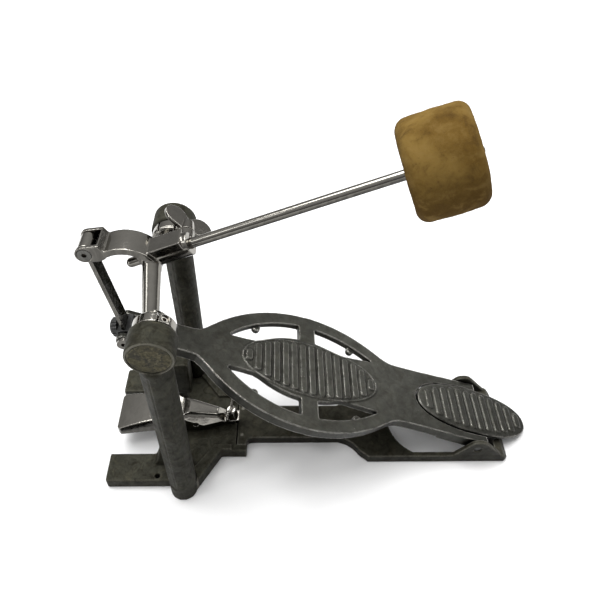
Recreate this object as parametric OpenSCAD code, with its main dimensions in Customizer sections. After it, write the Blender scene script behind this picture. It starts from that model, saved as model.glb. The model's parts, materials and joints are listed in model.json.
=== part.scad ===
// Bass drum pedal: twin posts, cranked rocker, flat link, oval footboard,
// hinged heel plate and floor rail.
// Origin: on the floor, straight under the rocker axle.
// +X runs from the drum towards the player's heel, +Z is up.
// The player's left is -Y and the player's right is +Y.

/* [Posts and axle] */
// Height of the rocker axle above the floor
axle_h = 165; // [160:1:175]
// Distance from the middle plane to the centre of a post
post_y = 51.8; // [51.8:0.1:52.2]
// Outer diameter of a post
post_d = 19.5; // [19.2:0.1:19.6]
// Bore of a post
post_bore_d = 13.2; // [13:0.1:13.4]
// Outer diameter of the bearing housing
housing_d = 28; // [28:0.2:29]
// Depth of the two flats on the front of a post
post_flat = 0.9; // [0.6:0.1:1]

/* [Rocker and link] */
// Height of the beater rod's line above the floor, over the axle
rod_h = 187.3; // [186.5:0.1:188]
// Slope of the beater rod at rest
rod_angle = 22.5; // [22:0.1:23]
// Width of the rocker arm and its fork
arm_w = 18; // [17.8:0.1:18.4]
// Distance of the link pin in front of the axle
link_pin_x = 39.4; // [39:0.1:39.6]
// Height of the link pin
link_pin_h = 193.4; // [193:0.1:193.6]
// Width of the link strap
strap_w = 12.4; // [11:0.1:12.4]

/* [Beater] */
// Diameter of the beater rod
rod_d = 6; // [6:0.05:6.4]
// Distance along the rod from the axle to the middle of the beater
beater_reach = 165.5; // [160:0.5:168]
// Diameter of the beater
beater_d = 55; // [52:0.5:58]
// Length of the beater along the rod
beater_l = 38.5; // [36:0.5:42]

/* [Footboard] */
// Distance of the heel hinge behind the axle
hinge_x = 221.5; // [221:0.1:222]
// Height of the heel hinge
hinge_h = 17.1; // [17:0.1:17.4]
// Slope of the footboard at rest
board_angle = 22.47; // [22.3:0.01:22.6]
// Half of the oval ring's width
oval_half = 49.4; // [48:0.1:50]
// Number of ribs on the sole pad
sole_ribs = 15; // [15:1:15]
// Number of ribs on the heel plate
heel_ribs = 12; // [10:1:12]

/* [Base] */
// Thickness of the foot bars
bar_t = 9.6; // [9.4:0.1:9.8]
// Front end of the foot bars, in front of the axle
bar_front = 57.2; // [55:0.1:60]
// Rear end of the floor rail
rail_rear = 248.5; // [248:0.1:250]
// Thickness of the floor rail
rail_t = 8.5; // [8:0.1:8.8]

/* [Hidden] */
$fn = 64;
eps = 0.01;
fit = 0.05;              // running clearance on a radius
gap = 0.4;               // air between moving faces

// Colours
casting_grey = [0.36, 0.36, 0.33];
board_grey = [0.42, 0.43, 0.43];
rail_grey = [0.33, 0.31, 0.26];
chrome_grey = [0.75, 0.74, 0.72];
cap_olive = [0.45, 0.42, 0.30];
steel_grey = [0.55, 0.55, 0.55];
black = [0.07, 0.07, 0.07];
felt_tan = [0.58, 0.47, 0.29];

// Stations outwards from the middle plane
collar_in = 35.4;
collar_out = 43.0;
housing_in = 43.4;
housing_out = 60.6;
bearing_in = 44.4;
bearing_w = 5;
bearing_out = bearing_in + bearing_w;
cam_in = bearing_out + 1;
cam_out = cam_in + 6.6;
cap_in = 58.6;
cap_out = 60.0;

// Round sizes of the axle end
housing_r = housing_d / 2;
cavity_r = 11;
cap_r = 12.3;
ring_r = 9.5;
race_r = 7.4;
cone_r = 4.8;
axle_r = 3;
ball_r = 1.25;
ball_pitch_r = (race_r + cone_r) / 2;
ball_count = 9;
collar_r = 12.7;
journal_r = 6;

// Return spring drive
cam_r = 5.5;
cam_throw = 3.6;
cam_rest = 145;          // angle of the cam's centre at rest, from +X towards +Z
plunger_y = (cam_in + cam_out) / 2;
plunger_r = 2.5;
plunger_top = axle_h + cam_throw * sin(cam_rest) - cam_r - 0.3;
flange_top = 100;
flange_t = 3;
bore_top = 150;
plug_bottom = 3;
plug_top = 15;
plug_r = 6.5;
spring_turns = 13;
spring_r = 5.2;
wire_r = 0.85;

// Toe pivot of the footboard
toe_x = -29.6;
toe_h = 121.5;
link_top = [-link_pin_x, 0, link_pin_h];
link_angle = atan2(toe_x + link_pin_x, link_pin_h - toe_h);

// Footboard, measured from the hinge pin towards the toe
plate_top = 5.25;
plate_t = 3.2;
rim_t = 2.4;
rim_bottom = -2.8;
oval_mid = 143;
oval_r = 102;
neck_half = 10.4;
fork_s = -7;
bridge_a = 136.8;
bridge_b = 149.8;
rib_pitch = 6.85;
rib_h = 1.1;
sole_rib_w = 4.9;
heel_rib_w = 5;
heel_mid = 1.3;
heel_half_l = 50.7;
heel_half_w = 20.6;
heel_gap = 0.8;
pin_r = 2.6;

// Helpers
function polar(r, a) = [r * cos(a), r * sin(a)];
function arc(c, r, a0, a1, n) = [for (i = [0:n]) c + polar(r, a0 + (a1 - a0) * i / n)];
function smooth_max(a, b, k) = (a + b + sqrt((a - b) * (a - b) + k * k)) / 2;
function reversed(v) = [for (i = [len(v) - 1:-1:0]) v[i]];
function flip(v) = [for (p = v) [p[0], -p[1]]];
// Half width of a round-ended lens at distance d from its middle
function lens(half, r, d) = half - r + sqrt(max(r * r - d * d, 0));

module both() {
    children();
    mirror([0, 1, 0]) children();
}
module right_side() {
    mirror([0, 1, 0]) children();
}
// A cylinder along Y from y0 to y1
module y_rod(r, y0, y1, x = 0, z = 0) {
    translate([x, y0, z]) rotate([-90, 0, 0]) cylinder(r = r, h = y1 - y0);
}
// A cylinder along X from x0 to x1
module x_rod(r, x0, x1, y = 0, z = 0) {
    translate([x0, y, z]) rotate([0, 90, 0]) cylinder(r = r, h = x1 - x0);
}
// A plate with an XZ outline, from y0 to y1
module xz_plate(points, y0, y1) {
    translate([0, y1, 0]) rotate([90, 0, 0]) linear_extrude(y1 - y0) polygon(points);
}
// The footboard's own frame: x towards the heel, z out of the tread
module on_board() {
    translate([hinge_x, 0, hinge_h]) rotate([0, board_angle, 0]) children();
}
// The beater rod's own frame: x along the rod, away from the axle
module on_rod() {
    translate([0, 0, rod_h]) rotate([0, -rod_angle, 0]) children();
}
// Hexagonal key hole
module hex_recess(r, depth) {
    cylinder(r = r, h = depth, $fn = 6);
}

// ---------------------------------------------------------------- base
spur_x = -19.5;
spur_y = 46.8;
spur_r = 2;
bar_in = 28.4;
bar_out = 50.9;
plate_front = -4;
web_x = 26;
tongue_rear = 45;
tongue_half = 26.8;
ledge_x = 37;
ledge_t = 4;
rail_tab_half = 21;
clamp_pin_x = 6;
clamp_pin_h = 20;
clamp_pin_r = 2;
clamp_screw_x = 33;
clamp_screw_r = 2.5;
lug_in = 3.2;
lug_out = 6.6;
lug_r = 4.2;
post_screw_h = 5;
post_screw_r = 2;
post_screw_tip = 44.8;
rail_screw_x = 41;
rail_screw_y = 12;
rail_screw_r = 1.8;

inner_corner = arc([plate_front - 5, bar_in - 5], 5, 0, 90, 6);
outer_corner = arc([2 - bar_front, bar_out - 2], 2, 180, 90, 4);
base_outline_half = concat([[plate_front, 0]], inner_corner, [[-bar_front, bar_in]],
    outer_corner,
    [[0, bar_out], [8.4, 55.6], [web_x, tongue_half], [tongue_rear, tongue_half], [tongue_rear, 0]]);

// Gusset inside a foot bar with a curved front edge, joined to its post by a short wall
module post_fin() {
    xz_plate([[-2, bar_t - 1], [-22.6, bar_t - 1], [-22.4, bar_t + 0.6], [-19.6, 18], [-17.6, 26],
        [-16, 35], [-14.6, 44], [-5, 46], [-1.5, 44]], 27.4, 38.4);
    xz_plate([[-6, bar_t - 1], [-2, bar_t - 1], [-1.8, 40], [-6, 42]], 38, 44.5);
}
module clamp_lug() {
    xz_plate(concat([[-2, bar_t - 1], [14, bar_t - 1]],
        arc([clamp_pin_x, clamp_pin_h], lug_r, 0, 180, 12)), lug_in, lug_out);
}
module base_casting() {
    color(casting_grey) difference() {
        union() {
            linear_extrude(bar_t) both() polygon(base_outline_half);
            both() post_fin();
            both() clamp_lug();
            both() web_rib();
        }
        both() translate([0, post_y, -1]) cylinder(r = post_d / 2 + fit, h = 60);
        both() translate([spur_x, spur_y, -1]) cylinder(r = spur_r, h = bar_t + 2);
        both() y_rod(post_screw_r + fit, bar_in - 1, post_y, 0, post_screw_h);
        translate([clamp_screw_x, 0, -1]) cylinder(r = clamp_screw_r + fit, h = bar_t + 2);
        y_rod(clamp_pin_r, -lug_out - 1, lug_out + 1, clamp_pin_x, clamp_pin_h);
        translate([ledge_x, -rail_tab_half - 0.2, ledge_t])
            cube([20, 2 * rail_tab_half + 0.4, bar_t]);
        both() translate([rail_screw_x, rail_screw_y, -1]) cylinder(r = rail_screw_r, h = bar_t);
        both() translate([rail_screw_x, rail_screw_y, -1]) cylinder(r = 3.4, h = 2.6);
    }
}
// Low rib along the slanted edge from a post to the tongue
module web_rib() {
    translate([0, 0, bar_t - 1]) linear_extrude(3.4)
        polygon([[8.4, 55.6], [web_x, tongue_half], [34, tongue_half], [34, 22], [21, 22], [3, 46]]);
}
module post_screws() {
    color(steel_grey) both() difference() {
        y_rod(post_screw_r, bar_in + 1, post_screw_tip, 0, post_screw_h);
        translate([0, bar_in + 1 - eps, post_screw_h]) rotate([-90, 0, 0]) hex_recess(1.2, 2);
    }
}

// ---------------------------------------------------------------- posts
// The tube narrows to the housing's own width above neck_z, clear of the collar
neck_z = 151;
shaft_l = axle_h - housing_r - 17;
module post_tube() {
    difference() {
        translate([0, post_y, 0]) cylinder(r = post_d / 2, h = axle_h);
        for (y = [housing_in - 10, housing_out])
            translate([-post_d, y, neck_z]) cube([2 * post_d, 10, axle_h]);
    }
}
// One casting: a fluted tube with the bearing housing across its top
module post() {
    difference() {
        union() {
            post_tube();
            y_rod(housing_r - 1, housing_in, housing_out, 0, axle_h);
            y_rod(housing_r, housing_in + 1, housing_out - 1, 0, axle_h);
        }
        y_rod(race_r - 0.4, housing_in - 1, bearing_in + eps, 0, axle_h);
        y_rod(ring_r, bearing_in, bearing_out, 0, axle_h);
        y_rod(cavity_r, bearing_out - eps, cap_in, 0, axle_h);
        y_rod(cap_r, cap_in - eps, housing_out + 1, 0, axle_h);
        translate([0, post_y, -1]) cylinder(r = post_bore_d / 2, h = bore_top + 1);
        translate([0, plunger_y, bore_top - 1])
            cylinder(r = plunger_r + fit, h = axle_h - bore_top - cavity_r / 2);
        translate([0, 0, post_screw_h]) y_rod(post_screw_r, 40, post_screw_tip + 0.2);
        translate([-3, 58, axle_h]) cylinder(r = 0.6, h = housing_r + 1);
        translate([0, post_y, 14]) for (a = [135, 225]) rotate(a)
            translate([post_d / 2 - post_flat, -post_d / 2, 0]) cube([3, post_d, shaft_l]);
        translate([0, post_y, 14]) for (a = [110, 250]) rotate(a)
            translate([post_d / 2 + 0.35, 0, 0]) cylinder(r = 1, h = shaft_l, $fn = 16);
    }
}
module left_post() {
    color(casting_grey) right_side() post();
}
module right_post() {
    color(casting_grey) post();
}
module end_cap() {
    y_rod(cap_r, cap_in, cap_out - 0.5, 0, axle_h);
    y_rod(cap_r - 0.8, cap_in, cap_out, 0, axle_h);
}
module left_end_cap() {
    color(cap_olive) right_side() end_cap();
}
module right_end_cap() {
    color(cap_olive) end_cap();
}
module bearing_outer_rings() {
    color(steel_grey) both() difference() {
        y_rod(ring_r, bearing_in, bearing_out, 0, axle_h);
        y_rod(race_r, bearing_in - 1, bearing_out + 1, 0, axle_h);
    }
}
module bearing_inner_rings() {
    color(steel_grey) both() difference() {
        y_rod(cone_r, bearing_in, bearing_out, 0, axle_h);
        y_rod(axle_r, bearing_in - 1, bearing_out + 1, 0, axle_h);
    }
}
module bearing_balls() {
    color(steel_grey) both() for (i = [0:ball_count - 1])
        translate([ball_pitch_r * cos(360 * i / ball_count), bearing_in + bearing_w / 2,
            axle_h + ball_pitch_r * sin(360 * i / ball_count)]) sphere(r = ball_r, $fn = 20);
}

// ---------------------------------------------------------------- return springs
module plunger() {
    head_t = 1.2;
    translate([0, plunger_y, flange_top - eps]) cylinder(r = plunger_r, h = plunger_top - flange_top);
    translate([-cam_r, plunger_y - 3, plunger_top - head_t]) cube([2 * cam_r, 6, head_t]);
    translate([0, post_y, flange_top - flange_t]) cylinder(r = post_bore_d / 2 - 0.3, h = flange_t);
}
module left_plunger() {
    color(steel_grey) right_side() plunger();
}
module right_plunger() {
    color(steel_grey) plunger();
}
// Open coil from the plug to the plunger's flange
spring_steps = 16;
spring_sides = 6;
module spring() {
    z0 = plug_top + wire_r;
    z1 = flange_top - flange_t - wire_r;
    count = spring_turns * spring_steps;
    points = [for (i = [0:count]) let (a = 360 * i / spring_steps)
        for (j = [0:spring_sides - 1]) let (b = 360 * j / spring_sides)
            [(spring_r + wire_r * cos(b)) * cos(a), (spring_r + wire_r * cos(b)) * sin(a),
                z0 + (z1 - z0) * i / count + wire_r * sin(b)]];
    sides = [for (i = [0:count - 1]) for (j = [0:spring_sides - 1])
        let (k = (j + 1) % spring_sides)
            [i * spring_sides + j, (i + 1) * spring_sides + j,
                (i + 1) * spring_sides + k, i * spring_sides + k]];
    start = [for (j = [0:spring_sides - 1]) j];
    end = [for (j = [spring_sides - 1:-1:0]) count * spring_sides + j];
    translate([0, post_y, 0]) polyhedron(points, concat(sides, [start, end]));
}
module left_spring() {
    color(steel_grey) right_side() spring();
}
module right_spring() {
    color(steel_grey) spring();
}
module tension_screw() {
    translate([0, post_y, 0]) difference() {
        translate([0, 0, plug_bottom]) cylinder(r = plug_r, h = plug_top - plug_bottom);
        translate([-2.6, -2.6, plug_bottom - 1]) cube([5.2, 5.2, 8]);
    }
}
module left_tension_screw() {
    color(steel_grey) right_side() tension_screw();
}
module right_tension_screw() {
    color(steel_grey) tension_screw();
}
module cam_shaft() {
    difference() {
        union() {
            y_rod(axle_r, collar_in, cam_in + eps, 0, axle_h);
            y_rod(cam_r, cam_in, cam_out, cam_throw * cos(cam_rest), axle_h + cam_throw * sin(cam_rest));
        }
        y_rod(1, cam_out - 2, cam_out + 1, 0, axle_h);
    }
}
module left_cam_shaft() {
    color(steel_grey) right_side() cam_shaft();
}
module right_cam_shaft() {
    color(steel_grey) cam_shaft();
}

// ---------------------------------------------------------------- rocker
arch_x = -18.6;
arch_z = 176.5;
arch_r = 21.7;
arch_in_r = 17.4;
crotch_x = -31.5;
sleeve_r = 6.8;
pad_y = 6.4;             // half width of the flat on top of the sleeve
sleeve_a = -9;
sleeve_b = 21;
rod_screw_s = 17;
rod_screw_r = 2.5;
boss_out = 10.4;
throw_y0 = 5;
throw_y1 = 30;
throw_x = -3.5;

// Fork cheek outline around the link pin
fork_profile = concat([[-28, 195.6], [-31, 200.1]],
    arc([-link_pin_x, link_pin_h], 5.4, 100, 262, 14), [[-31.4, 188.8], [-28, 190.6]]);
module rocker_throw() {
    rise = atan2(rod_h - 2 - axle_h, throw_y1 - throw_y0);
    run = sqrt(pow(rod_h - 2 - axle_h, 2) + pow(throw_y1 - throw_y0, 2));
    difference() {
        union() {
            translate([throw_x, throw_y1, axle_h]) rotate([90 - rise, 0, 0])
                cylinder(r1 = 4.8, r2 = 5.5, h = run);
            translate([throw_x, throw_y1, axle_h]) sphere(r = 5.3);
            y_rod(journal_r - 0.4, throw_y1 - 1, collar_in + eps, 0, axle_h);
            y_rod(journal_r, collar_in, collar_out, 0, axle_h);
        }
        y_rod(axle_r, collar_in, collar_out + 1, 0, axle_h);
    }
}
module rocker() {
    color(chrome_grey) difference() {
        union() {
            both() rocker_throw();
            on_rod() x_rod(sleeve_r, sleeve_a, sleeve_b);
            on_rod() translate([sleeve_a - 1, -pad_y, 0]) cube([sleeve_b - sleeve_a - 2, 2 * pad_y, 7.6]);
            on_rod() y_rod(5, 0, boss_out, rod_screw_s, 0);
            intersection() {
                difference() {
                    y_rod(arch_r, 0.2 - arm_w / 2, arm_w / 2 - 0.2, arch_x, arch_z);
                    y_rod(arch_in_r, -arm_w, arm_w, arch_x, arch_z);
                }
                translate([-28.6, -arm_w, arch_z + 4]) cube([30.6, 2 * arm_w, 40]);
            }
            xz_plate(fork_profile, -arm_w / 2, arm_w / 2);
        }
        // Fork gap for the link head
        translate([crotch_x - 30, -strap_w / 2 - 0.3, 170]) cube([30, strap_w + 0.6, 60]);
        y_rod(2.5, -arm_w, arm_w, -link_pin_x, link_pin_h);
        y_rod(4.1, -arm_w, -arm_w / 2 + 1.2, -link_pin_x, link_pin_h);
        on_rod() x_rod(rod_d / 2 + fit, -60, 60);
        on_rod() y_rod(rod_screw_r + fit, 0, 20, rod_screw_s, 0);
        // Tail of the rod stays clear of the arch
        on_rod() x_rod(rod_d / 2 + gap, -40, sleeve_a);
    }
}
module collar() {
    difference() {
        union() {
            y_rod(collar_r - 1.4, collar_in, collar_out, 0, axle_h);
            y_rod(collar_r - 0.5, collar_in + 0.5, collar_out, 0, axle_h);
            y_rod(collar_r, collar_in + 1.4, collar_out, 0, axle_h);
        }
        y_rod(journal_r, collar_in - 1, collar_out + 1, 0, axle_h);
        for (x = [-7, 3.6])
            translate([x - 0.5, collar_in - 1, axle_h + 8.5]) cube([1, 20, 10]);
        collar_screw_place() translate([0, 0, journal_r]) cylinder(r = 2.4, h = 20);
    }
}
// The collar's set screw points at the axle from above and behind
module collar_screw_place() {
    translate([0, (collar_in + collar_out) / 2 + 0.4, axle_h]) rotate([0, 36, 0]) children();
}
module left_collar() {
    color(chrome_grey) right_side() collar();
}
module right_collar() {
    color(chrome_grey) collar();
}
module collar_screws() {
    color(chrome_grey) both() collar_screw_place() difference() {
        translate([0, 0, journal_r + eps]) cylinder(r = 2.4, h = 5.6);
        translate([0, 0, journal_r + 3.6]) hex_recess(1.3, 4);
    }
}
module link_pin() {
    color(steel_grey) difference() {
        union() {
            y_rod(2.5, -arm_w / 2 + 0.2, arm_w / 2 - 0.2, -link_pin_x, link_pin_h);
            y_rod(4, -arm_w / 2 + 0.1, -arm_w / 2 + 1.2, -link_pin_x, link_pin_h);
        }
        translate([-link_pin_x, -arm_w / 2 - 1, link_pin_h]) rotate([-90, 0, 0]) hex_recess(1.6, 2.6);
    }
}

// ---------------------------------------------------------------- link and toe pivot
strap_t = 2.2;
strap_half = strap_w / 2 - 0.2;
block_half = 7.4;
block_l = 9;
block_h = 11.2;
knob_r = 6.6;
knob_drop = 2.4;
stud_r = 1.6;
pivot_r = 1.8;
link_len = norm([toe_x + link_pin_x, toe_h - link_pin_h]);
// The strap's own frame: z runs down the strap from the link pin, x towards the drum
module on_link() {
    translate(link_top) rotate([0, 180 - link_angle, 0]) children();
}
module link() {
    color(chrome_grey) difference() {
        union() {
            y_rod(4.9, -strap_w / 2, strap_w / 2, -link_pin_x, link_pin_h);
            on_link() translate([-strap_t / 2, -strap_half, 4])
                cube([strap_t, 2 * strap_half, link_len + block_h / 2 - 5]);
        }
        y_rod(2.5 + fit, -20, 20, -link_pin_x, link_pin_h);
        on_link() x_rod(stud_r, -10, 10, 0, link_len - knob_drop);
    }
}
// Pivot block clamped round the strap's lower end
module toe_block() {
    color(black) difference() {
        on_link() translate([-block_l / 2, -block_half, link_len - block_h / 2])
            cube([block_l, 2 * block_half, block_h]);
        on_link() translate([-strap_t / 2, -strap_half, 4])
            cube([strap_t, 2 * strap_half, link_len + block_h / 2 - 5]);
        both() y_rod(pivot_r + fit, block_half - 0.8, 20, toe_x, toe_h);
        on_link() x_rod(stud_r, -20, 10, 0, link_len - knob_drop);
    }
}
// Knurled knob and its stud, in front of the block
module toe_knob() {
    face = block_l / 2;
    color(black) on_link() difference() {
        union() {
            x_rod(knob_r, face, face + 3.6, 0, link_len - knob_drop);
            x_rod(knob_r - 1.6, face, face + 4.8, 0, link_len - knob_drop);
            x_rod(stud_r, -face, face + 1, 0, link_len - knob_drop);
        }
        for (i = [0:17])
            translate([0, 0, link_len - knob_drop]) rotate([20 * i, 0, 0])
                translate([0, 0, knob_r + 0.4]) x_rod(0.9, face - 1, 20);
    }
}
cheek_in = 8;
cheek_out = 12;
module toe_pivot_screws() {
    color(chrome_grey) difference() {
        union() {
            both() y_rod(pivot_r, block_half + 0.3, cheek_out, toe_x, toe_h);
            right_side() y_rod(4.4, cheek_out, cheek_out + 2.4, toe_x, toe_h);
        }
        right_side() translate([toe_x, cheek_out + 0.8, toe_h]) rotate([-90, 0, 0]) hex_recess(1.8, 4);
    }
}

// ---------------------------------------------------------------- footboard
toe_r = 5.6;
slot_s = 258;
yoke_s = 246;
pad_mid = 145;
pad_half = 26;
pad_r = 62;
tip_front = 203;
tip_rear = 89;
web_half = 13.6;
waist_half = 25;
toe_s = (hinge_x - toe_x) * cos(board_angle) + (toe_h - hinge_h) * sin(board_angle);
toe_n = (toe_h - hinge_h) * cos(board_angle) - (hinge_x - toe_x) * sin(board_angle);
// Half width of the whole board, of its sole pad and of the ring's inner edge
function board_w(s) = s > oval_mid
    ? smooth_max(lens(oval_half, oval_r, s - oval_mid), neck_half, 4)
    : smooth_max(lens(oval_half, oval_r, s - oval_mid), waist_half + (60 - s) * 0.04, 5);
function pad_w(s) = s > pad_mid
    ? smooth_max(lens(pad_half, pad_r, s - pad_mid), web_half, 2)
    : smooth_max(lens(pad_half, pad_r, s - pad_mid), 20.6 + (112 - s) * 0.09, 2);
function ring_w(s) = s > oval_mid ? lens(39.5, 85.5, s - oval_mid) : lens(39.5, 95.6, s - oval_mid);
function heel_w(s, grow) = let (l = heel_half_l + grow, d = abs(s - heel_mid) / l)
    (heel_half_w + grow) * pow(max(1 - pow(d, 2.2), 0), 1 / 2.2);
// Outline points from s0 to s1 on one side; s runs towards the toe, so x is -s
function board_edge(s0, s1, n, inset) =
    [for (i = [0:n]) let (s = s0 + (s1 - s0) * i / n) [-s, board_w(s) - inset]];
function heel_outline(grow) = let (n = 28, l = heel_half_l + grow)
    concat([for (i = [0:n]) let (s = heel_mid - l * cos(180 * i / n)) [-s, heel_w(s, grow)]],
        [for (i = [1:n - 1]) let (s = heel_mid + l * cos(180 * i / n)) [-s, -heel_w(s, grow)]]);
module board_outline(inset) {
    edge = board_edge(fork_s + inset, slot_s, 64, inset);
    polygon(concat(edge, reversed(flip(edge))));
}
module opening(s0, s1, n) {
    inner = [for (i = [0:n]) let (s = s0 + (s1 - s0) * i / n) [-s, pad_w(s)]];
    outer = [for (i = [0:n]) let (s = s0 + (s1 - s0) * i / n) [-s, max(ring_w(s), pad_w(s) + 0.4)]];
    polygon(concat(inner, reversed(outer)));
}
// The four openings of the ring
module openings_2d() {
    both() opening(bridge_b, tip_front, 14);
    both() opening(tip_rear, bridge_a, 14);
}
// A flat layer from z0 to z1
module between(z0, z1) {
    translate([0, 0, z0]) linear_extrude(z1 - z0) children();
}
sole_front = 193.6;
sole_rear = 87.6;
sole_mid = (sole_front + sole_rear) / 2;
sole_half = (sole_front - sole_rear) / 2;
sole_width = 23.3;
border_w = 0.9;
function sole_w(s, inset) = let (d = min(abs(s - sole_mid) / (sole_half - inset), 1))
    (sole_width - inset) * pow(1 - d * d, 0.5);
module sole_zone(inset) {
    n = 28;
    half = sole_half - inset;
    top = [for (i = [0:n]) let (s = sole_mid - half * cos(180 * i / n))
        [-s, i % n == 0 ? 0 : sole_w(s, inset)]];
    under = [for (i = [1:n - 1]) let (s = sole_mid + half * cos(180 * i / n)) [-s, -sole_w(s, inset)]];
    polygon(concat(top, under));
}
// A bar across the board with rounded corners; half_l is measured at its narrower side
module rib(s, width, half_l) {
    r = min(width * 0.42, half_l);
    x = width / 2 - r;
    y = half_l - r;
    polygon(concat(arc([x - s, y], r, 0, 90, 4), arc([-x - s, y], r, 90, 180, 4),
        arc([-x - s, -y], r, 180, 270, 4), arc([x - s, -y], r, 270, 360, 4)));
}
module sole_rib_set() {
    for (i = [0:sole_ribs - 1]) {
        s = sole_mid + rib_pitch * (i - (sole_ribs - 1) / 2);
        rib(s, sole_rib_w, min(sole_w(s - 2, 1.8), sole_w(s + 2, 1.8)));
    }
}
module heel_rib_set() {
    for (i = [0:heel_ribs - 1]) {
        s = heel_mid - 1 + heel_rib_pitch * (i - (heel_ribs - 1) / 2);
        rib(s, heel_rib_w, min(heel_w(s - 2, -3.4), heel_w(s + 2, -3.4)));
    }
}
module footboard() {
    color(board_grey) on_board() difference() {
        union() {
            // Tread plate
            between(plate_top - plate_t, plate_top) difference() {
                board_outline(0);
                openings_2d();
                polygon(heel_outline(heel_gap));
            }
            // Outer rim wall
            between(rim_bottom, plate_top - 1) difference() {
                board_outline(0);
                board_outline(rim_t);
                polygon(heel_outline(heel_gap));
            }
            // Wall round each opening
            between(rim_bottom + 3, plate_top - 1) difference() {
                opening_walls();
                openings_2d();
            }
            // Sole ribs
            between(plate_top - 0.5, plate_top + rib_h) sole_rib_set();
            between(plate_top - 0.5, plate_top + rib_h / 2) difference() {
                sole_zone(0);
                sole_zone(border_w);
            }
            fork_arms();
            toe_yoke();
            both() stop_bosses();
        }
        both() y_rod(pin_r + fit, 10, 40);
        both() y_rod(pivot_r, cheek_in - 1, cheek_out + 1, -toe_s, toe_n);
    }
}
// Slightly larger than the openings, kept inside the board
module opening_walls() {
    intersection() {
        both() for (r = [[bridge_b - 1.8, tip_front + 2], [tip_rear - 2, bridge_a + 1.8]]) {
            n = 14;
            inner = [for (i = [0:n]) let (s = r[0] + (r[1] - r[0]) * i / n) [-s, pad_w(s) - 1.8]];
            outer = [for (i = [0:n]) let (s = r[0] + (r[1] - r[0]) * i / n)
                [-s, max(ring_w(s) + 1.8, pad_w(s))]];
            polygon(concat(inner, reversed(outer)));
        }
        board_outline(0);
    }
}
module fork_arms() {
    between(-plate_top + 0.6, plate_top - 1) intersection() {
        difference() {
            board_outline(0);
            polygon(heel_outline(heel_gap));
        }
        translate([-34, -40]) square([60, 80]);
    }
}
module toe_yoke() {
    intersection() {
        both() xz_plate(concat([[-yoke_s, plate_top], [-yoke_s, rim_bottom]],
            [[-toe_s, toe_n - toe_r]], arc([-toe_s, toe_n], toe_r, 270, 90, 12)), cheek_in, cheek_out);
        translate([-300, -20, -20]) cube([100, 40, 20 + plate_top]);
    }
    between(rim_bottom, plate_top)
        translate([-slot_s, -cheek_out]) square([slot_s - yoke_s, 2 * cheek_out]);
}
module stop_bosses() {
    for (p = [[183, 28.6], [105.5, 31]])
        translate([-p[0], p[1], rim_bottom + 1.5]) cylinder(r = 3, h = 4);
}

// ---------------------------------------------------------------- heel plate
heel_bottom = 2.2;
heel_top = 6.4;
heel_rib_pitch = 7.6;
lug_y0 = 12;
lug_y1 = 17;
latch_s = -15;
latch_l = 7;
latch_half = 19;
latch_t = 3.2;
module heel_plate() {
    color(board_grey) on_board() difference() {
        union() {
            between(heel_bottom, heel_top) polygon(heel_outline(-0.6));
            between(heel_bottom + 0.6, heel_top - 0.6) polygon(heel_outline(0));
            between(heel_top - 0.2, heel_top + 0.8) heel_rib_set();
            both() hull() {
                y_rod(5, lug_y0, lug_y1, $fn = 32);
                translate([-6, lug_y0, heel_bottom]) cube([12, lug_y1 - lug_y0, 1]);
            }
        }
        y_rod(pin_r + fit, -30, 30);
        both() translate([-latch_s, 12, heel_bottom - 1]) cylinder(r = 1.5, h = 4);
    }
}
// Dark lock under the heel plate's rear
module heel_latch() {
    color(black) on_board() {
        translate([-latch_s - latch_l / 2, -latch_half, heel_bottom - latch_t])
            cube([latch_l, 2 * latch_half, latch_t]);
        both() translate([-latch_s, 12, heel_bottom - eps]) cylinder(r = 1.5, h = 2.6);
    }
}
module heel_pin() {
    color(steel_grey) y_rod(pin_r, -30.6, 30.6, hinge_x, hinge_h);
}

// ---------------------------------------------------------------- floor rail
beam_half = 14.8;
rail_half = 32;
arm_in = 28;
flare_x = 113;
window_c = 188.6;
window_r = 31.6;
window_rear = 238;
tab_x = 37.4;
ear_r = 9.4;
ear_foot_a = 204;
ear_foot_b = 246;
function rail_side() = concat([[tab_x, rail_tab_half], [44.6, rail_tab_half], [46, beam_half + 0.8],
    [52, beam_half]],
    arc([flare_x, beam_half + 21.6], 21.6, 270, 332, 10),
    [[flare_x + 26, rail_half], [rail_rear - 3, rail_half], [rail_rear, rail_half - 3]]);
module rail_window() {
    a = asin(arm_in / window_r);
    front = arc([window_c, 0], window_r, 180 - a, 180 + a, 16);
    polygon(concat(front, [[window_rear - 3, -arm_in], [window_rear, 3 - arm_in],
        [window_rear, arm_in - 3], [window_rear - 3, arm_in]]));
}
module heel_rail() {
    color(rail_grey) difference() {
        union() {
            difference() {
                linear_extrude(rail_t) difference() {
                    side = rail_side();
                    polygon(concat(side, reversed(flip(side))));
                    rail_window();
                }
                // Rear bar slopes to the floor
                translate([rail_rear - 5, -40, rail_t]) rotate([0, 50, 0]) cube([20, 80, 20]);
                // Tab that lies on the base's ledge
                translate([0, -40, -1]) cube([tongue_rear + 0.3, 80, ledge_t + 1]);
            }
            both() xz_plate(concat([[ear_foot_b, rail_t - 6], [ear_foot_b, rail_t - 4]],
                arc([hinge_x, hinge_h], ear_r, 40, 125, 12),
                [[ear_foot_a, rail_t], [ear_foot_a, rail_t - 6]]), arm_in + 0.2, rail_half - 0.2);
        }
        both() y_rod(pin_r, arm_in - 1, 30.6, hinge_x, hinge_h);
        both() y_rod(3.1, 30.6, 40, hinge_x, hinge_h);
        both() translate([rail_screw_x, rail_screw_y, ledge_t - 1])
            cylinder(r = rail_screw_r, h = 4.6);
    }
}
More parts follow.
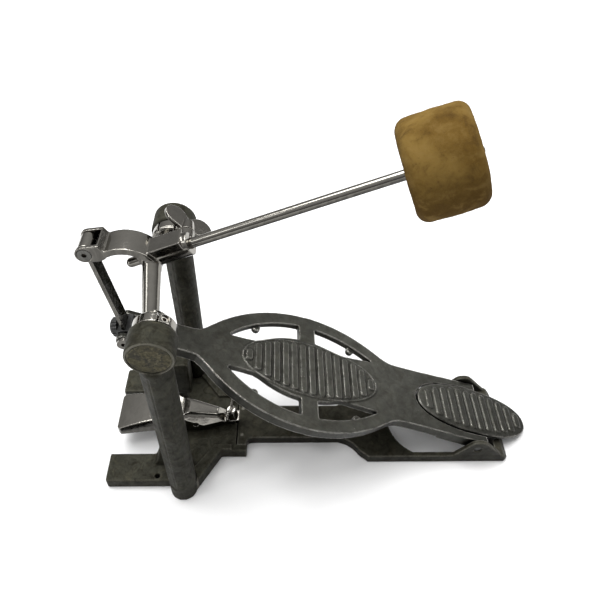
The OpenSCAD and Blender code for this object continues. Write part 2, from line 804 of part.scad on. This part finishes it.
module rail_screws() {
    color(steel_grey) both() translate([rail_screw_x, rail_screw_y, 0]) difference() {
        union() {
            translate([0, 0, 0.4]) cylinder(r = 3.3, h = 1.2);
            translate([0, 0, 0.5]) cylinder(r = rail_screw_r, h = 6.6);
        }
        translate([-4, -0.4, 0]) cube([8, 0.8, 0.9]);
    }
}

// ---------------------------------------------------------------- hoop clamp
jaw_half = 15.6;
lip_x = -52.5;
tail_x = 39;
tail_top = 17.6;
pin_half = 10.2;
clamp_outline = [[lip_x, 0], [lip_x, jaw_half - 2], [lip_x + 2, jaw_half], [-30, 13], [-12, 10.8],
    [-2, 10.6], [12, 10.4], [27, 5.6], [tail_x, 4.8], [tail_x, 0]];
hollow_outline = [[lip_x + 3, 0], [lip_x + 3, 12.2], [-30, 10], [-12, 7.6], [-4, 7.1], [14.8, 7.1],
    [17.4, 5.4], [17.4, 0]];
// Side profile: a lip at the front, an arch over the pin, a low flat tail
clamp_side = concat([[-6, 15.4], [lip_x, 15.4], [lip_x, 23.3]], arc([-12, -79], 110, 111.6, 85, 10),
    [[2, 30], [22.5, 23.4], [27.4, tail_top], [tail_x, tail_top], [tail_x, 13.6], [27, 13.6],
    [24, 12.6], [-4, 12.6]]);
hollow_side = [[17.4, 10], [15, 19], [11, 23], [8, 24.8], [-2, 25.6], [-14, 27], [-30, 25.6],
    [-44, 22.6], [lip_x + 3, 20.6], [lip_x + 3, 10]];
// A profile swept across the middle plane inside a plan outline
module in_outline(outline, side) {
    intersection() {
        linear_extrude(40) polygon(concat(outline, reversed(flip(outline))));
        xz_plate(side, -20, 20);
    }
}
module hoop_clamp() {
    color(chrome_grey) difference() {
        in_outline(clamp_outline, clamp_side);
        in_outline(hollow_outline, hollow_side);
        // Sloping shoulders of the rear half
        both() translate([2, 5, 30]) rotate([63, 0, -45.5]) translate([-40, 0, -40])
            cube([59, 20, 80]);
        both() translate([2, 8.6, 28]) rotate([28, 0, -18.7]) translate([-40, 0, -40])
            cube([64, 20, 80]);
        y_rod(clamp_pin_r + fit, -20, 20, clamp_pin_x, clamp_pin_h);
        translate([clamp_screw_x - 1.4, -3.2, 10]) cube([2.8, 6.4, 30]);
        for (x = [-1.4, 1.4])
            translate([clamp_screw_x + x, 0, 10]) cylinder(r = 3.2, h = 30);
    }
}
module clamp_pin() {
    color(steel_grey) y_rod(clamp_pin_r, -pin_half, pin_half, clamp_pin_x, clamp_pin_h);
}
// A wing of a thumb screw: a rounded paddle in the XZ plane, leaning outwards
module wing(root, reach, r, t) {
    hull() {
        translate([0, t / 2, root]) rotate([90, 0, 0]) cylinder(r = r * 0.62, h = t, $fn = 32);
        translate([reach, t / 2, root + r * 0.75]) rotate([90, 0, 0]) cylinder(r = r, h = t, $fn = 32);
    }
}
module clamp_screw() {
    color(chrome_grey) translate([clamp_screw_x, 0, 0]) {
        translate([0, 0, 1]) cylinder(r = clamp_screw_r, h = tail_top);
        translate([0, 0, tail_top + gap]) cylinder(r1 = 5, r2 = 3.6, h = 8);
        for (a = [78, 258]) rotate(a) wing(tail_top + 7.9, 8, 4.4, 1.8);
    }
}
module rod_wing_screw() {
    color(chrome_grey) on_rod() translate([rod_screw_s, 0, 0]) rotate([-90, 0, 0]) {
        translate([0, 0, rod_d / 2 + 0.4]) cylinder(r = rod_screw_r, h = 9);
        translate([0, 0, boss_out + 0.4]) cylinder(r1 = 4.8, r2 = 3.6, h = 8.6);
        for (a = [60, 240]) rotate(a) wing(15.5, 8.7, 7, 2.2);
    }
}

// ---------------------------------------------------------------- beater
head_a = beater_reach - beater_l / 2;
head_b = beater_reach + beater_l / 2;
head_round = 7;
rod_tail = -18;
recess_a = head_b - 4.4;
washer_t = 1;
nut_b = head_b - 1.2;
module beater_rod() {
    color(chrome_grey) on_rod() {
        x_rod(rod_d / 2, rod_tail, nut_b);
        translate([rod_tail, 0, 0]) sphere(r = rod_d / 2);
    }
}
// Squat felt barrel round the rod, with rounded rims
module beater_head() {
    color(felt_tan) on_rod() difference() {
        translate([head_a, 0, 0]) rotate([0, 90, 0]) rotate_extrude($fn = 96) polygon(concat(
            [[0, 0]],
            arc([beater_d / 2 - head_round, head_round], head_round, -90, 0, 8),
            arc([beater_d / 2 - head_round, beater_l - head_round], head_round, 0, 90, 8),
            [[0, beater_l]]));
        x_rod(rod_d / 2 + fit, head_a - 20, head_b + 20);
        x_rod(5.6, recess_a, head_b + 20);
    }
}
module beater_washer() {
    color(steel_grey) on_rod() difference() {
        x_rod(5.5, recess_a, recess_a + washer_t);
        x_rod(rod_d / 2 + fit, head_a, head_b + 20);
    }
}
module beater_nut() {
    color(black) on_rod() difference() {
        union() {
            x_rod(4.4, recess_a + washer_t, nut_b, $fn = 6);
            translate([nut_b, 0, 0]) rotate([0, 90, 0]) rotate_extrude()
                polygon(concat([[0, 0]], arc([0, 0], 3.7, 0, 90, 10)));
        }
        x_rod(rod_d / 2 + fit, head_a, nut_b);
    }
}

base_casting();
left_post();
right_post();
post_screws();
left_end_cap();
right_end_cap();
bearing_outer_rings();
bearing_inner_rings();
bearing_balls();
left_cam_shaft();
right_cam_shaft();
left_plunger();
right_plunger();
left_spring();
right_spring();
left_tension_screw();
right_tension_screw();
rocker();
left_collar();
right_collar();
collar_screws();
link_pin();
link();
toe_block();
toe_knob();
toe_pivot_screws();
footboard();
heel_plate();
heel_latch();
heel_pin();
heel_rail();
rail_screws();
hoop_clamp();
clamp_pin();
clamp_screw();
rod_wing_screw();
beater_rod();
beater_head();
beater_washer();
beater_nut();
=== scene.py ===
"""Looks of the bass drum pedal. Metres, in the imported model's own frame:
X towards the player's heel, Z up, the player's left on -Y, the floor at z = 0."""
import json
import math

import bmesh
import bpy
from mathutils import Matrix, Vector, noise


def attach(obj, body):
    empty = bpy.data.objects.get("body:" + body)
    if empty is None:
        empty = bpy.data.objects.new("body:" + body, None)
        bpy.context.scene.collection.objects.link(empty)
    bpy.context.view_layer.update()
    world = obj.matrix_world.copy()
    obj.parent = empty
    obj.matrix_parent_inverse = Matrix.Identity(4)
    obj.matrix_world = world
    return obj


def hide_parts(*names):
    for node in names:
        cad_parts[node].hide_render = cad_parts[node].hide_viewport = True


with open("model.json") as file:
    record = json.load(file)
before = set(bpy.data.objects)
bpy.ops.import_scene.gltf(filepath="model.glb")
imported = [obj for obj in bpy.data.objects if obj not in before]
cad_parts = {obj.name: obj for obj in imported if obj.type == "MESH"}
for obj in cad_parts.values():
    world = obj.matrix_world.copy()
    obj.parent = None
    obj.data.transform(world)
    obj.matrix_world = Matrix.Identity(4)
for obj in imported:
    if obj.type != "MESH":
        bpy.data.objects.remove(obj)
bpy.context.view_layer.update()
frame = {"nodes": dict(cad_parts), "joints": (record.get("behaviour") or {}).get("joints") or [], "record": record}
MM = 0.001

NODES = frame["nodes"]
BODIES = frame["record"]["behaviour"]["bodies"]
BODY_OF = {node: body for body, nodes in BODIES.items() for node in nodes}
SLOT_OF = {s["node"]: s["material_slot"] for s in frame["record"]["subparts"]}
JOINTS = {joint["name"]: joint for joint in frame["joints"]}


def tinted(colour, by):
    """A colour times one factor, or times a factor for each channel."""
    factors = by if isinstance(by, tuple) else (by,) * 3
    return tuple(c * f for c, f in zip(colour, factors))


# ---------------------------------------------------------------- materials
class Look:
    """A procedural material: a principled shader and short ways to add nodes to it."""

    def __init__(self, name, **shader):
        self.mat = bpy.data.materials.new(name)
        self.mat.use_nodes = True
        self.tree = self.mat.node_tree
        self.shader = self.tree.nodes["Principled BSDF"]
        for key, value in shader.items():
            self.shader.inputs[key.replace("_", " ")].default_value = value
        coords = self.node("ShaderNodeTexCoord")
        self.where = coords.outputs["Object"]
        self.facing = coords.outputs["Normal"]

    def node(self, kind, **inputs):
        n = self.tree.nodes.new(kind)
        for key, value in inputs.items():
            self.put(value, n.inputs[key.replace("_", " ")])
        return n

    def put(self, value, socket):
        """Links an output to the socket, or sets its uniform value."""
        if isinstance(value, bpy.types.NodeSocket):
            self.tree.links.new(value, socket)
        elif socket.type == "RGBA" and len(value) == 3:
            socket.default_value = (*value, 1)
        else:
            socket.default_value = value

    def stretched(self, sx, sy, sz, turn=0):
        """Coordinates scaled along each axis, so that a noise on them becomes streaks."""
        m = self.node("ShaderNodeMapping", Vector=self.where, Scale=(sx, sy, sz), Rotation=(0, turn, 0))
        return m.outputs["Vector"]

    def noise(self, size, detail=5, rough=0.6, warp=0, at=None):
        """Cloudy noise whose blobs are about size millimetres across."""
        n = self.node("ShaderNodeTexNoise", Vector=at or self.where, Scale=1 / (size * MM), Detail=detail,
                      Roughness=rough, Distortion=warp)
        return n.outputs["Fac"]

    def cells(self, size):
        """Distance to the nearest of scattered points about size millimetres apart."""
        n = self.node("ShaderNodeTexVoronoi", Vector=self.where, Scale=1 / (size * MM))
        return n.outputs["Distance"]

    def band(self, value, low, high, out_low=0, out_high=1):
        """A smooth step from out_low to out_high as the value goes from low to high."""
        n = self.node("ShaderNodeMapRange", Value=value, From_Min=low, From_Max=high, To_Min=out_low,
                      To_Max=out_high)
        n.interpolation_type = "SMOOTHSTEP"
        return n.outputs["Result"]

    def math(self, kind, a, b=0.0, signed=False):
        """One sum; adding and subtracting stay between 0 and 1 unless they are signed."""
        n = self.tree.nodes.new("ShaderNodeMath")
        n.operation = kind
        n.use_clamp = kind in ("ADD", "SUBTRACT") and not signed
        self.put(a, n.inputs[0])
        self.put(b, n.inputs[1])
        return n.outputs[0]

    def weighed(self, a, b, share):
        """The mean of two values, with the first one's share."""
        return self.math("ADD", self.math("MULTIPLY", a, share), self.math("MULTIPLY", b, 1 - share))

    def ragged(self, mask, cloud, amount):
        """A mask whose border wanders with a cloudy noise."""
        return self.math("ADD", mask, self.math("MULTIPLY", self.math("SUBTRACT", cloud, 0.5), amount))

    def mix(self, how_much, a, b, kind="MIX"):
        """Colour a turning into colour b; with MULTIPLY, a shaded by b."""
        n = self.tree.nodes.new("ShaderNodeMix")
        n.data_type = "RGBA"
        n.blend_type = kind
        self.put(how_much, n.inputs[0])
        self.put(a, n.inputs[6])
        self.put(b, n.inputs[7])
        return n.outputs[2]

    def hollows(self, reach, samples=6):
        """1 deep in corners and grooves, 0 out in the open."""
        n = self.node("ShaderNodeAmbientOcclusion", Distance=reach * MM)
        n.samples = samples
        return self.math("SUBTRACT", 1.0, n.outputs["AO"])

    def edges(self, reach, samples=6):
        """1 on thin outer edges, 0 on broad faces."""
        n = self.node("ShaderNodeAmbientOcclusion", Distance=reach * MM)
        n.samples = samples
        n.inside = True
        return self.math("SUBTRACT", 1.0, n.outputs["AO"])

    def upward(self, low=0.1, high=0.95):
        """0 on sides and undersides, 1 on faces that look up."""
        return self.band(self.node("ShaderNodeSeparateXYZ", Vector=self.facing).outputs[2], low, high)

    def bump(self, height, depth, strength=1.0, below=None):
        """A relief about depth millimetres high, on top of the one below."""
        n = self.node("ShaderNodeBump", Height=height, Strength=strength, Distance=depth * MM)
        if below is not None:
            self.put(below, n.inputs["Normal"])
        return n.outputs["Normal"]

    def finish(self, colour, rough, normal):
        """Links what was made to the shader and gives the material."""
        for value, socket in ((colour, "Base Color"), (rough, "Roughness"), (normal, "Normal")):
            if value is not None:
                self.put(value, self.shader.inputs[socket])
        return self.mat


def cast_metal(name, base, dirt, bright, grain=0.8, wear=0.5, metal=0.65, rough=(0.42, 0.7), hollow=3.0,
               wall_shade=0.5, oil=0.6, rim=1.4, grime_from=0.2, shine=0.25, patchy=0.3):
    """Old cast metal: cloudy colour, grime in the corners, rubbed edges, pitted skin, and painted shade that
    darkens its sides and undersides.
    """
    k = Look(name, Metallic=metal, Specular_IOR_Level=shine)
    cloud = k.noise(22, 4, 0.6, 0.4)
    blotch = k.noise(5, 6, 0.65, 0.6)
    fine = k.noise(grain, 6, 0.7)
    colour = k.mix(k.band(cloud, 0.35, 0.68), base, tinted(base, 1.35))
    colour = k.mix(k.band(blotch, 0.5, 0.72, 0, 0.75 * oil), colour, dirt)
    colour = k.mix(k.band(fine, 0.35, 0.7, 0.0, 0.35), colour, tinted(base, 1.5))
    streaks = k.stretched(1, 1, 0.35)
    oily = k.band(k.noise(9, 6, 0.72, 1.2, streaks), 0.46, 0.64, 0, oil)
    colour = k.mix(oily, colour, tinted(base, (0.42, 0.36, 0.24)))
    dust = k.band(k.noise(6, 6, 0.7, 0.8, streaks), 0.52, 0.72, 0, 0.7 * oil)
    colour = k.mix(dust, colour, tinted(base, (2.1, 1.95, 1.7)))
    worn = k.band(k.noise(8, 7, 0.72, 0.6), 0.36, 0.66, 1 - patchy, 1 + patchy)
    colour = k.mix(1.0, colour, worn, "MULTIPLY")
    # Painted shade: sides and undersides darker than the faces that look up.
    colour = k.mix(1.0, colour, k.band(k.upward(), 0, 1, wall_shade, 1.0), "MULTIPLY")
    grime = k.band(k.ragged(k.hollows(hollow), blotch, 0.5), grime_from, grime_from + 0.34)
    colour = k.mix(grime, colour, dirt)
    uneven = k.band(k.noise(7, 5, 0.7), 0.25, 0.55, 0.45, 1)
    rub = k.band(k.math("MULTIPLY", k.edges(rim), uneven), 0.08, 0.30, 0, wear)
    colour = k.mix(rub, colour, bright)
    nick = k.band(k.cells(2.6), 0.0, 0.09, 1, 0)
    colour = k.mix(k.math("MULTIPLY", nick, k.band(cloud, 0.5, 0.7, 0, 0.55)), colour, bright)
    r = k.band(k.weighed(blotch, fine, 0.6), 0.3, 0.7, *rough)
    r = k.mix(rub, r, (rough[0] * 0.72,) * 3)
    normal = k.bump(k.noise(2.4, 4, 0.6), 0.12, 0.7)
    normal = k.bump(fine, 0.08, 0.9, normal)
    return k.finish(colour, r, normal)


def plated(name, base, haze=(0.06, 0.20), pits=0.6, wall_shade=0.55, wavy=0.22, streaky=0.3):
    """Old bright plating: mirror-like, with haze, brown pits, hairline scratches, and painted shade that darkens
    its sides and undersides.
    """
    k = Look(name, Metallic=1.0)
    cloud = k.noise(11, 5, 0.62, 0.8)
    fine = k.noise(1.1, 5, 0.7)
    spots = k.math("MULTIPLY", k.band(k.cells(1.7), 0.03, 0.16, 1, 0), k.band(k.noise(6, 3), 0.5, 0.64))
    stain = k.band(k.ragged(k.hollows(2.5), cloud, 0.8), 0.3, 0.8)
    colour = k.mix(k.band(cloud, 0.3, 0.7), base, tinted(base, 0.82))
    colour = k.mix(k.math("MULTIPLY", stain, 0.55), colour, (0.16, 0.125, 0.085))
    colour = k.mix(k.math("MULTIPLY", spots, pits), colour, (0.10, 0.065, 0.04))
    # Painted shade: sides and undersides darker than the faces that look up, standing in for the reflection of a
    # dark floor.
    colour = k.mix(1.0, colour, k.band(k.upward(-0.3, 0.8), 0, 1, wall_shade, 1.0), "MULTIPLY")
    streak = k.band(k.noise(6, 3, 0.6, 0.7, k.stretched(1.5, 1.5, 0.4)), 0.40, 0.60, 0.2, 1.9)
    streaked = k.mix(1.0, colour, streak, "MULTIPLY")
    colour = k.mix(k.band(k.upward(-0.6, 0.7), 0, 1, streaky, 0), colour, streaked)
    scratches = k.noise(0.35, 3, 0.6, 0, k.stretched(1, 14, 1, 0.6))
    r = k.band(k.weighed(cloud, fine, 0.6), 0.34, 0.7, *haze)
    r = k.mix(k.math("MULTIPLY", spots, pits), r, (0.55,) * 3)
    normal = k.bump(k.noise(7, 2), wavy, 0.7)
    normal = k.bump(scratches, 0.008, 0.5, normal)
    return k.finish(colour, r, normal)


def felt(name):
    """Hard felt gone brown: mottled tan, dark handling stains in patches, painted shade on its underside, short
    matted fibres.
    """
    k = Look(name, Metallic=0.0, Roughness=0.95, Specular_IOR_Level=0.04, Sheen_Weight=0.03,
             Sheen_Roughness=0.6, Sheen_Tint=(0.75, 0.6, 0.35, 1))
    broad = k.noise(26, 4, 0.55, 0.5)
    patch = k.noise(9, 6, 0.65, 0.35)
    fleck = k.noise(1.6, 5, 0.75)
    fibre = k.noise(0.5, 4, 0.8, 1.2)
    colour = k.mix(k.band(broad, 0.35, 0.65), (0.108, 0.060, 0.0115), (0.188, 0.117, 0.030))
    # Painted shade: the felt darker where it faces down.
    colour = k.mix(k.band(k.upward(-0.5, 0.9), 0, 1, 0.9, 0), colour, (0.044, 0.0215, 0.0028))
    colour = k.mix(k.band(patch, 0.48, 0.72, 0, 0.75), colour, (0.045, 0.022, 0.0055))
    colour = k.mix(k.band(patch, 0.52, 0.3, 0, 0.4), colour, (0.225, 0.148, 0.050))
    colour = k.mix(k.band(fleck, 0.55, 0.75, 0, 0.5), colour, (0.034, 0.017, 0.005))
    colour = k.mix(k.band(fibre, 0.3, 0.75, 0, 0.25), colour, (0.205, 0.135, 0.048))
    colour = k.mix(k.band(k.hollows(4), 0.25, 0.75, 0, 0.6), colour, (0.022, 0.011, 0.004))
    normal = k.bump(patch, 0.5, 0.4)
    normal = k.bump(fleck, 0.22, 0.6, normal)
    normal = k.bump(fibre, 0.12, 0.8, normal)
    return k.finish(colour, None, normal)


def enamel(name, base, chip):
    """Worn dark enamel over metal."""
    k = Look(name, Metallic=0.15)
    cloud = k.noise(3, 5, 0.65)
    rub = k.band(k.math("MULTIPLY", k.edges(0.7), k.band(k.noise(2, 5), 0.35, 0.6)), 0.15, 0.4, 0, 0.7)
    colour = k.mix(k.band(cloud, 0.4, 0.7), base, [c * 1.9 + 0.006 for c in base])
    colour = k.mix(rub, colour, chip)
    r = k.band(cloud, 0.3, 0.7, 0.28, 0.5)
    return k.finish(colour, r, k.bump(k.noise(0.7, 4), 0.03, 0.6))


def tarnished_disc(name):
    """Olive-brown worn disc with fine turning marks round the axle and a paler rim."""
    k = Look(name, Metallic=0.85)
    axle = JOINTS["rocker_pivot"]["pos_m"]
    place = k.node("ShaderNodeSeparateXYZ", Vector=k.where).outputs
    off_x = k.math("SUBTRACT", place["X"], axle[0], signed=True)
    off_z = k.math("SUBTRACT", place["Z"], axle[2], signed=True)
    radius = k.math("SQRT", k.math("ADD", k.math("MULTIPLY", off_x, off_x), k.math("MULTIPLY", off_z, off_z)))
    rim, seam = 0.0118, 0.0123
    cloud = k.noise(6, 4, 0.6, 0.8)
    fine = k.noise(1.6, 4, 0.7)
    rings = k.noise(0.25, 2, 0.5, 0, k.node("ShaderNodeCombineXYZ", X=radius).outputs[0])
    colour = k.mix(k.band(cloud, 0.38, 0.62), (0.014, 0.0125, 0.0065), (0.052, 0.046, 0.024))
    colour = k.mix(k.band(fine, 0.5, 0.62, 0, 0.7), colour, (0.10, 0.088, 0.050))
    colour = k.mix(k.band(k.noise(2.6, 4, 0.7, 0.5), 0.52, 0.62, 0, 0.85), colour, (0.007, 0.006, 0.0035))
    colour = k.mix(k.band(rings, 0.4, 0.7, 0, 0.3), colour, (0.012, 0.0105, 0.006))
    colour = k.mix(k.band(radius, rim - 0.0008, rim, 0, 0.55), colour, (0.15, 0.14, 0.10))
    colour = k.mix(k.band(radius, seam - 0.0004, seam, 0, 0.8), colour, (0.010, 0.009, 0.006))
    r = k.band(cloud, 0.3, 0.7, 0.34, 0.6)
    normal = k.bump(rings, 0.03, 0.5)
    return k.finish(colour, r, k.bump(fine, 0.04, 0.7, normal))


# One look for each material slot of the record
LOOKS = {
    "casting": cast_metal("cast_olive_grey", (0.029, 0.0283, 0.0202), (0.0045, 0.0042, 0.0025),
                          (0.20, 0.19, 0.155), metal=0.15, rough=(0.5, 0.75), wall_shade=0.74, oil=0.75,
                          shine=0.12, patchy=0.22),
    "board": cast_metal("cast_footboard", (0.041, 0.0408, 0.0350), (0.0045, 0.0043, 0.0033),
                        (0.74, 0.72, 0.66), grain=0.6, wear=1.0, metal=0.92, rough=(0.32, 0.48),
                        hollow=2.4, wall_shade=0.62, oil=0.3, rim=0.95, grime_from=0.08, patchy=0.14),
    "rail": cast_metal("cast_rail", (0.030, 0.0285, 0.0202), (0.006, 0.005, 0.0035), (0.32, 0.31, 0.27),
                       metal=0.4, wall_shade=0.5, oil=0.6, shine=0.15, patchy=0.22),
    "chrome": plated("old_chrome", (0.32, 0.306, 0.276), wall_shade=0.24, wavy=0.16, streaky=0.3),
    "cap": tarnished_disc("worn_disc"),
    "steel": plated("zinc_steel", (0.17, 0.168, 0.155), haze=(0.22, 0.42), pits=0.4),
    "black": enamel("worn_black", (0.008, 0.008, 0.0075), (0.10, 0.098, 0.092)),
    "felt": felt("beater_felt"),
}


# ---------------------------------------------------------------- pieces
def settle(obj, node):
    """Puts a new piece in a CAD node's place: same body, same slot, same look."""
    if obj.name not in bpy.context.scene.collection.objects:
        bpy.context.scene.collection.objects.link(obj)
    obj.data.materials.clear()
    obj.data.materials.append(LOOKS[SLOT_OF[node]])
    obj.data.polygons.foreach_set("use_smooth", [True] * len(obj.data.polygons))
    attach(obj, BODY_OF[node])
    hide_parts(node)
    return obj


def welded(node):
    """A copy of a CAD node's mesh with its faces joined."""
    me = NODES[node].data.copy()
    bm = bmesh.new()
    bm.from_mesh(me)
    bmesh.ops.remove_doubles(bm, verts=bm.verts, dist=1e-6)
    bm.to_mesh(me)
    bm.free()
    me.materials.clear()
    return me


def evaluated(obj):
    """Applies every modifier of an object to its mesh."""
    bpy.context.view_layer.update()
    dg = bpy.context.evaluated_depsgraph_get()
    me = bpy.data.meshes.new_from_object(obj.evaluated_get(dg))
    obj.modifiers.clear()
    obj.data = me
    return obj


def softened(node, voxel, rounds, keep):
    """A copy of a CAD node with every edge rounded, as a casting or a plated piece has it."""
    obj = bpy.data.objects.new(node + "_skin", welded(node))
    bpy.context.scene.collection.objects.link(obj)
    skin = obj.modifiers.new("skin", "REMESH")
    skin.mode = "VOXEL"
    skin.voxel_size = voxel * MM
    soft = obj.modifiers.new("soft", "SMOOTH")
    soft.factor = 0.5
    soft.iterations = rounds
    thin = obj.modifiers.new("thin", "DECIMATE")
    thin.ratio = keep
    evaluated(obj)
    return settle(obj, node)


# Voxel size in millimetres, rounds of smoothing and the share of faces that stays
SOFT = {
    "base_casting": (0.7, 4, 0.45),
    "left_post": (0.6, 3, 0.5),
    "right_post": (0.6, 3, 0.5),
    "rocker": (0.35, 6, 0.6),
    "left_collar": (0.26, 3, 0.6),
    "right_collar": (0.26, 3, 0.6),
    "footboard": (0.55, 2, 0.5),
    "heel_plate": (0.5, 2, 0.5),
    "heel_rail": (0.7, 3, 0.45),
    "hoop_clamp": (0.4, 9, 0.6),
    "link": (0.3, 3, 0.6),
    "toe_block": (0.3, 3, 0.6),
    "toe_knob": (0.22, 2, 0.6),
    "heel_latch": (0.4, 2, 0.6),
    "clamp_screw": (0.28, 4, 0.7),
    "rod_wing_screw": (0.28, 4, 0.7),
}
for node, how in SOFT.items():
    softened(node, *how)

for node, obj in NODES.items():
    if node not in SOFT and node != "beater_head":
        for slot in obj.material_slots:
            slot.link = "OBJECT"
            slot.material = LOOKS[SLOT_OF[node]]


def felt_outline(half, radius):
    """Half section of the felt in millimetres, as (place along the rod from its middle, radius)."""
    corner, hole, recess, face, bulge = 7.0, 3.06, 5.7, 20.5, 0.35
    flat = 2 * (half - corner)

    def rounded(angles):
        """How far the rounded corner's points stand out from its centre, along and across."""
        return [(corner * math.cos(math.radians(a)), corner * math.sin(math.radians(a))) for a in angles]

    def swell(t):
        return radius + bulge * math.sin(math.pi * t)

    outline = [(5 - half, hole), (0.9 - half, hole), (0.5 - half, hole + 0.5)]
    outline += [(0.5 - 0.5 * t / 10 - half, 4 + (face - 4) * t / 10) for t in range(11)]
    outline += [(corner - half - x, radius - corner + y) for x, y in rounded(range(8, 91, 8))]
    outline += [(corner - half + flat * t / 26, swell(t / 26)) for t in range(1, 26)]
    outline += [(half - corner + x, radius - corner + y) for x, y in rounded(range(90, 7, -8))]
    outline += [(half + 0.9 * math.sin(math.pi / 2 * t / 12), 20.3 - 13.4 * t / 12) for t in range(13)]
    outline += [(half + 0.5, 6.2), (half - 0.4, recess + 0.05), (half - 4.3, recess), (half - 4.35, hole)]
    return outline + [(20 - half, hole)]


def felt_barrel():
    """The beater: a squat barrel of hard felt round the rod, a little lumpy and dished by use."""
    joint = JOINTS["beater_turn"]
    middle = Vector(joint["pos_m"]) / MM
    along = Vector(joint["axis"]).normalized()
    side = Vector((0, 1, 0))
    up = along.cross(side)
    outline = felt_outline(19.25, 27.5)
    count, smooth_inside = 176, 7
    bm = bmesh.new()
    rings = []
    for step in range(count):
        a = 2 * math.pi * step / count
        out = math.cos(a) * up + math.sin(a) * side
        ring = []
        for s, r in outline:
            p = middle + along * s + out * r
            if r > smooth_inside:
                lump = 0.45 * noise.noise(p / 13) + 0.2 * noise.noise(p / 4.2) + 0.09 * noise.noise(p / 1.3)
                p += (p - middle).normalized() * lump
            ring.append(bm.verts.new(p * MM))
        rings.append(ring)
    for step in range(count):
        here, there = rings[step], rings[(step + 1) % count]
        for i in range(len(outline)):
            j = (i + 1) % len(outline)
            bm.faces.new((here[i], here[j], there[j], there[i]))
    bmesh.ops.recalc_face_normals(bm, faces=bm.faces)
    me = bpy.data.meshes.new("beater_felt")
    bm.to_mesh(me)
    bm.free()
    return settle(bpy.data.objects.new("beater_felt", me), "beater_head")


felt_barrel()


# ---------------------------------------------------------------- stage
def stage_floor():
    """A plain pale floor under the pedal."""
    bm = bmesh.new()
    bmesh.ops.create_grid(bm, x_segments=2, y_segments=2, size=6)
    me = bpy.data.meshes.new("floor")
    bm.to_mesh(me)
    bm.free()
    floor = bpy.data.objects.new("floor", me)
    bpy.context.scene.collection.objects.link(floor)
    white = Look("floor_white", Base_Color=(0.95, 0.95, 0.95, 1), Roughness=0.9, Specular_IOR_Level=0.1)
    floor.data.materials.append(white.mat)


def area_light(name, at, target, size, power, tall=None):
    """A soft light that looks at the target; with tall, a strip size by tall metres."""
    data = bpy.data.lights.new(name, "AREA")
    data.energy = power
    data.size = size
    if tall:
        data.shape = "RECTANGLE"
        data.size_y = tall
    lamp = bpy.data.objects.new(name, data)
    bpy.context.scene.collection.objects.link(lamp)
    lamp.location = at
    lamp.rotation_mode = "QUATERNION"
    lamp.rotation_quaternion = (Vector(target) - Vector(at)).to_track_quat("-Z", "Y")


def studio():
    """A dim room that gets lighter overhead, one large soft light and two weak strips."""
    bpy.context.scene.view_settings.view_transform = "Standard"
    world = bpy.data.worlds.new("studio")
    bpy.context.scene.world = world
    world.use_nodes = True
    tree = world.node_tree
    back = tree.nodes["Background"]
    ramp = tree.nodes.new("ShaderNodeValToRGB")
    low, high = ramp.color_ramp.elements
    low.position, low.color = 0.45, (0.08, 0.078, 0.074, 1)
    high.position, high.color = 0.95, (0.62, 0.62, 0.62, 1)
    split = tree.nodes.new("ShaderNodeSeparateXYZ")
    coord = tree.nodes.new("ShaderNodeTexCoord")
    span = tree.nodes.new("ShaderNodeMapRange")
    span.inputs["From Min"].default_value = -1
    tree.links.new(coord.outputs["Generated"], split.inputs[0])
    tree.links.new(split.outputs["Z"], span.inputs["Value"])
    tree.links.new(span.outputs[0], ramp.inputs[0])
    tree.links.new(ramp.outputs[0], back.inputs["Color"])
    back.inputs["Strength"].default_value = 1.0
    area_light("overhead", (-0.4, 0.55, 2.8), (0.1, 0, 0), 2.1, 97)
    area_light("strip_left", (-1.3, -0.6, 0.9), (0, 0, 0.1), 0.25, 5, 1.6)
    area_light("strip_right", (1.2, 1.0, 1.1), (0.1, 0, 0.1), 0.3, 6, 1.6)


def camera():
    """The viewpoint: above the player's left, looking down across the pedal."""
    yaw, pitch, roll = (math.radians(a) for a in (2.985, 46.314, 2.328))
    ahead = Vector((math.sin(yaw) * math.cos(pitch), math.cos(yaw) * math.cos(pitch), -math.sin(pitch)))
    right = Vector((math.cos(yaw), -math.sin(yaw), 0))
    up = right.cross(ahead)
    rolled_right = math.cos(roll) * right + math.sin(roll) * up
    rolled_up = math.cos(roll) * up - math.sin(roll) * right
    data = bpy.data.cameras.new("camera")
    data.sensor_width = 36
    data.lens = 35.916
    data.clip_start = 0.01
    data.clip_end = 50
    cam = bpy.data.objects.new("camera", data)
    bpy.context.scene.collection.objects.link(cam)
    eye = (0.06932, -0.26019, 0.42156)
    turn = Matrix((rolled_right, rolled_up, -ahead)).transposed().to_4x4()
    cam.matrix_world = Matrix.Translation(eye) @ turn
    bpy.context.scene.camera = cam


stage_floor()
studio()
camera()
